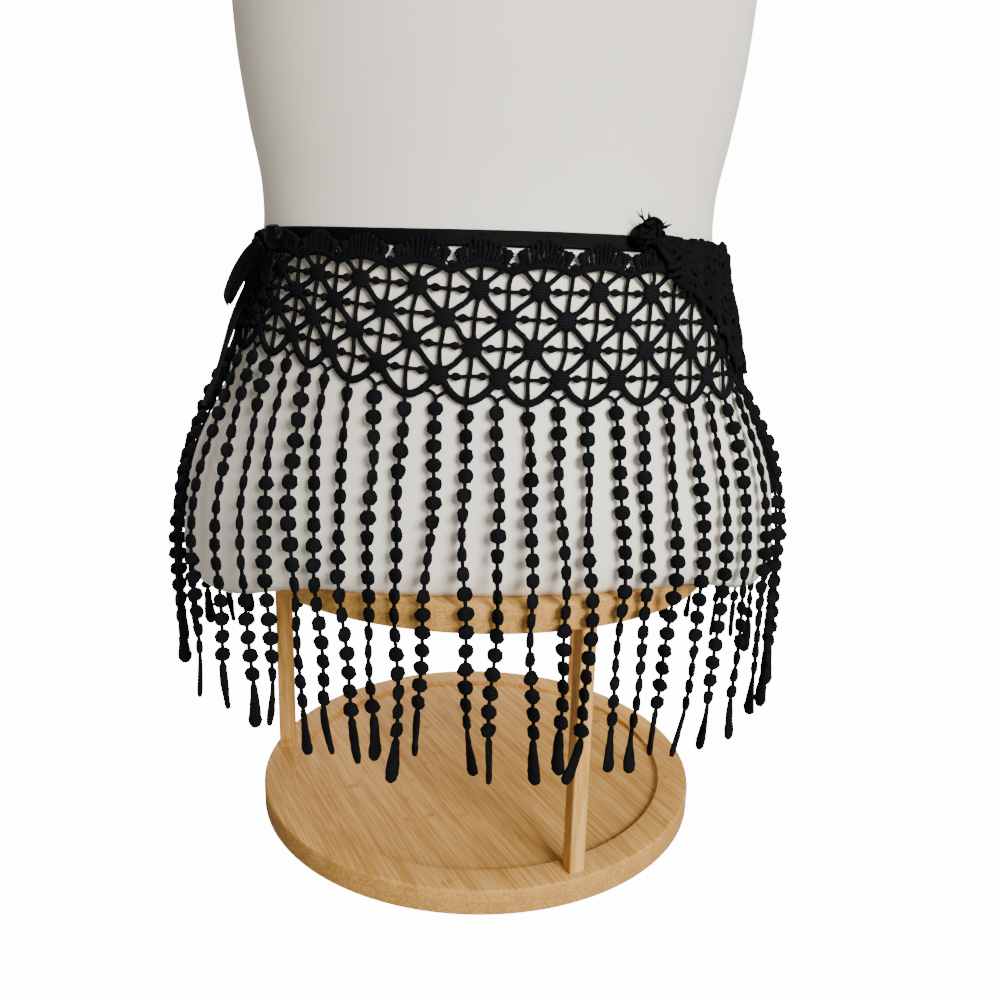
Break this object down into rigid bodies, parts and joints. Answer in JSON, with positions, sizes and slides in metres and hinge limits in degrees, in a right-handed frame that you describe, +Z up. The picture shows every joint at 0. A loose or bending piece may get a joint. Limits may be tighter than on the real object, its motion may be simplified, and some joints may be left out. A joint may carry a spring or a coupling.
{
  "type": "belly dance hip belt on a dress form and stand",
  "caption": "Corded lace hip belt with a long beaded fringe and a satin ribbon tie, worn by a limbless dress form on a round two-board bamboo stand.",
  "frame": {"origin": "centre of the underside of the stand's base, on the surface it stands on", "axes": "+Z up along the dress form, -Y towards the wearer's front, +X towards the picture's right"},
  "size_m": [0.3374, 0.2648, 0.714],
  "materials": {
    "bamboo": "oiled laminated bamboo, fine straight grain",
    "form_plastic": "smooth ivory plastic with a soft sheen",
    "lace_cord": "matte black embroidery thread",
    "satin_ribbon": "black satin ribbon with a soft sheen"
  },
  "bodies": {
    "root": {"stand_base": "bamboo", "stand_tray": "bamboo", "stand_post_1": "bamboo", "stand_post_2": "bamboo", "stand_post_3": "bamboo", "dress_form": "form_plastic", "ribbon_waist": "satin_ribbon", "ribbon_knot": "satin_ribbon", "ribbon_loop": "satin_ribbon", "ribbon_tail": "satin_ribbon", "ribbon_end": "satin_ribbon", "lace_front": "lace_cord", "lace_back": "lace_cord", "lace_fold_right": "lace_cord", "lace_gather_left": "lace_cord", "lace_knot_right": "lace_cord", "fringe_front": "lace_cord", "fringe_back": "lace_cord"}
  },
  "joints": []
}
